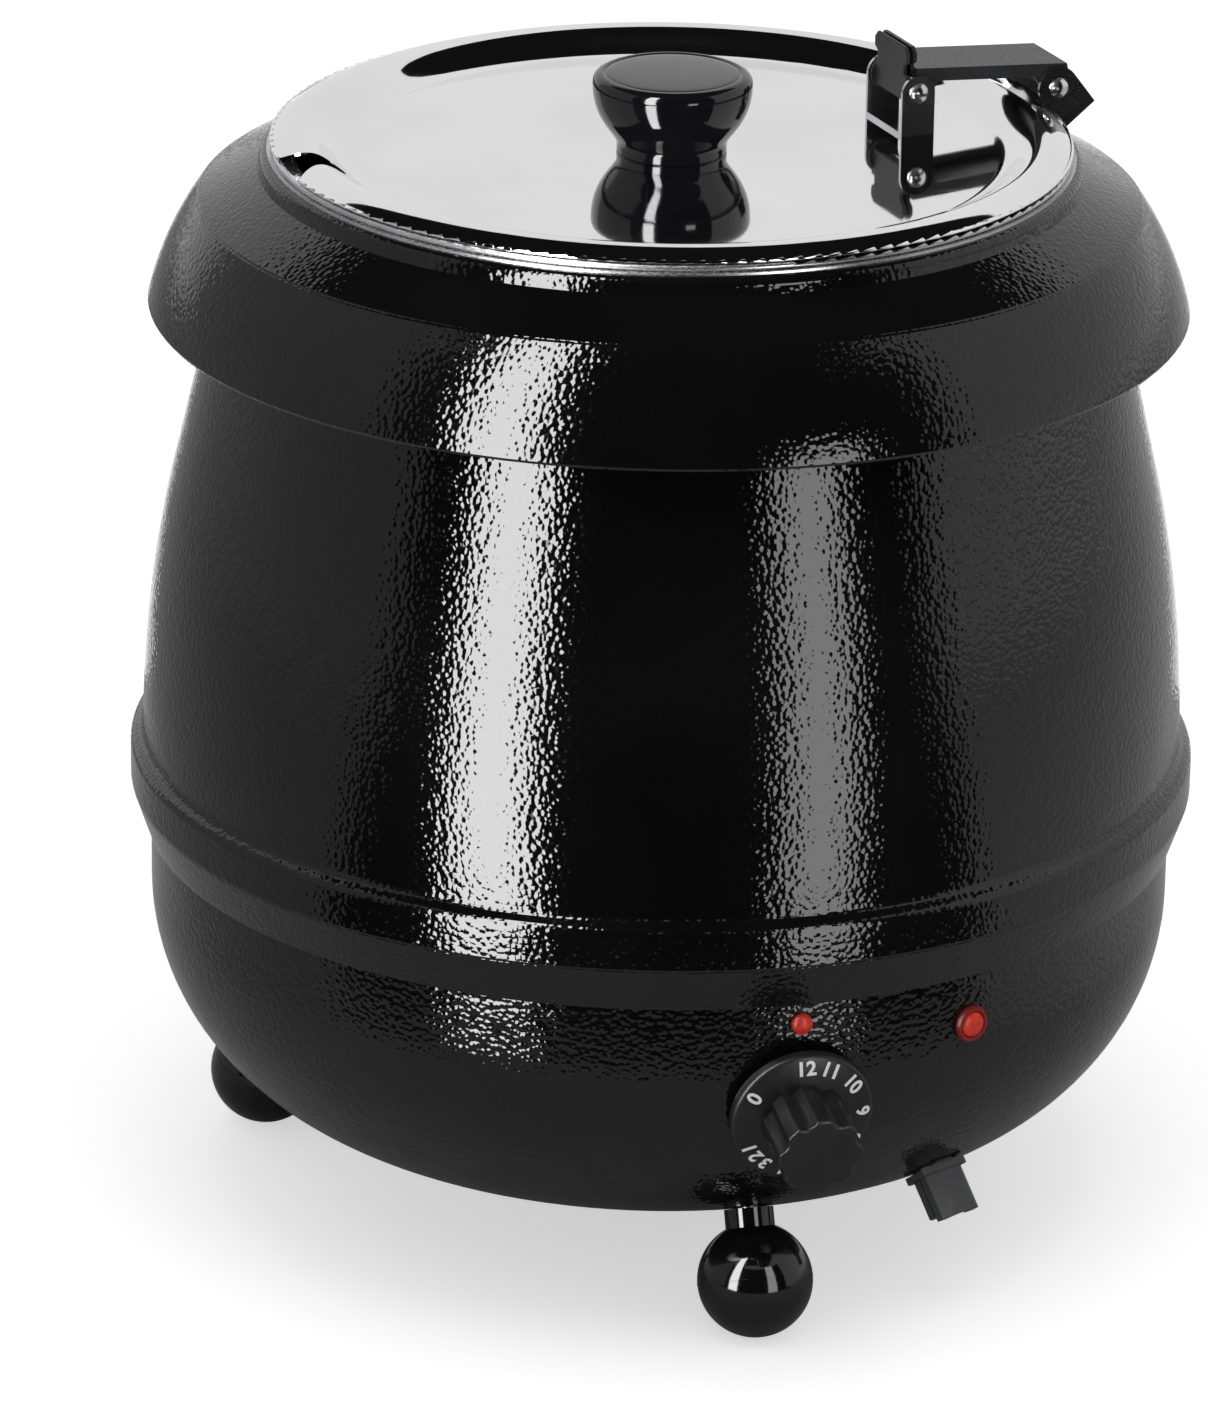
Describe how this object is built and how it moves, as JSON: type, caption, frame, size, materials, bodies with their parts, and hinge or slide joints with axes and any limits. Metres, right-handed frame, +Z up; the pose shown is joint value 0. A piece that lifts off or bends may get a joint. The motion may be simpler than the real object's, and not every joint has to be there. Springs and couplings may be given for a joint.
{
  "type": "soup kettle",
  "caption": "Round electric soup kettle with a lift-out pot in a water well, a notched hinged lid, a front dial, indicator lamps and ball feet.",
  "frame": {"origin": "on the kettle's vertical axis at the ground, midway between the three ball feet", "axes": "+Z up along the kettle axis; -Y towards the dial at the front; +X to the right seen from the front"},
  "size_m": [0.3503, 0.3718, 0.3863],
  "materials": {
    "black_hammertone": "gloss black powder coat with a fine hammered bump",
    "mirror_steel": "mirror-polished stainless sheet",
    "stainless": "satin stainless sheet",
    "plated_steel": "bright zinc-plated steel",
    "gloss_black_plastic": "moulded gloss black phenolic",
    "matte_black_plastic": "moulded satin black plastic with white numbers",
    "gland_plastic": "dark grey moulded nylon",
    "arm_paint": "satin black paint on pressed steel",
    "red_lens": "translucent red lens",
    "red_bezel": "dark red moulded ring",
    "nylon": "natural nylon",
    "switch_body": "cream moulded insulating plastic",
    "copper": "drawn copper tube",
    "brass": "turned brass",
    "element_sheath": "heat-stained sheath",
    "galvanised": "galvanised sheet"
  },
  "bodies": {
    "kettle": {"collar": "black_hammertone", "upper_shell": "black_hammertone", "lower_bowl": "black_hammertone", "water_well": "stainless", "thermostat_body": "switch_body", "thermostat_bracket": "galvanised", "thermostat_screws": "plated_steel", "thermostat_bulb": "copper", "bulb_clips": "galvanised", "power_lamp": "red_lens", "power_lamp_nut": "nylon", "heat_lamp_bezel": "red_bezel", "heat_lamp_lens": "red_lens", "heat_lamp_nut": "nylon", "gland_body": "gland_plastic", "gland_clamp": "gland_plastic", "gland_nut": "gland_plastic", "foot_front": "gloss_black_plastic", "foot_left": "gloss_black_plastic", "foot_right": "gloss_black_plastic", "foot_studs": "plated_steel", "foot_washers": "plated_steel", "foot_nuts": "plated_steel", "heating_element": "element_sheath", "element_saddles": "galvanised", "heat_shield": "galvanised", "tie_rods": "plated_steel", "tie_nuts": "plated_steel", "terminal_block": "nylon", "terminal_screws": "brass", "terminal_bracket": "galvanised", "thermal_cutout": "matte_black_plastic", "earth_stud": "brass"},
    "pot": {"inner_pot": "stainless", "rim_clip": "stainless", "clip_rivets": "plated_steel", "rear_pin": "plated_steel"},
    "arm": {"hinge_arm": "arm_paint"},
    "lid": {"lid": "mirror_steel", "lid_bracket": "stainless", "front_pin": "plated_steel", "lid_knob": "gloss_black_plastic", "knob_screw": "plated_steel"},
    "dial": {"dial": "matte_black_plastic", "thermostat_spindle": "plated_steel"}
  },
  "joints": [
    {"name": "pot_lift", "type": "slide", "parent": "kettle", "child": "pot", "axis": [0, 0, 1], "range_m": [0, 0.26]},
    {"name": "arm_hinge", "type": "hinge", "parent": "pot", "child": "arm", "pos_m": [0.13055, 0.01951, 0.36777], "axis": [-0.1478, 0.989, 0], "range_deg": [0, 100]},
    {"name": "lid_tilt", "type": "hinge", "parent": "arm", "child": "lid", "pos_m": [0.08041, 0.01202, 0.37137], "axis": [-0.1478, 0.989, 0], "range_deg": [0, 4]},
    {"name": "dial_turn", "type": "hinge", "parent": "kettle", "child": "dial", "pos_m": [0, -0.17668, 0.09018], "axis": [0, -0.9789, -0.2045], "range_deg": [0, 300]}
  ],
  "couplings": [
    {"joint": "lid_tilt", "follows": "arm_hinge", "ratio": 0.04}
  ]
}
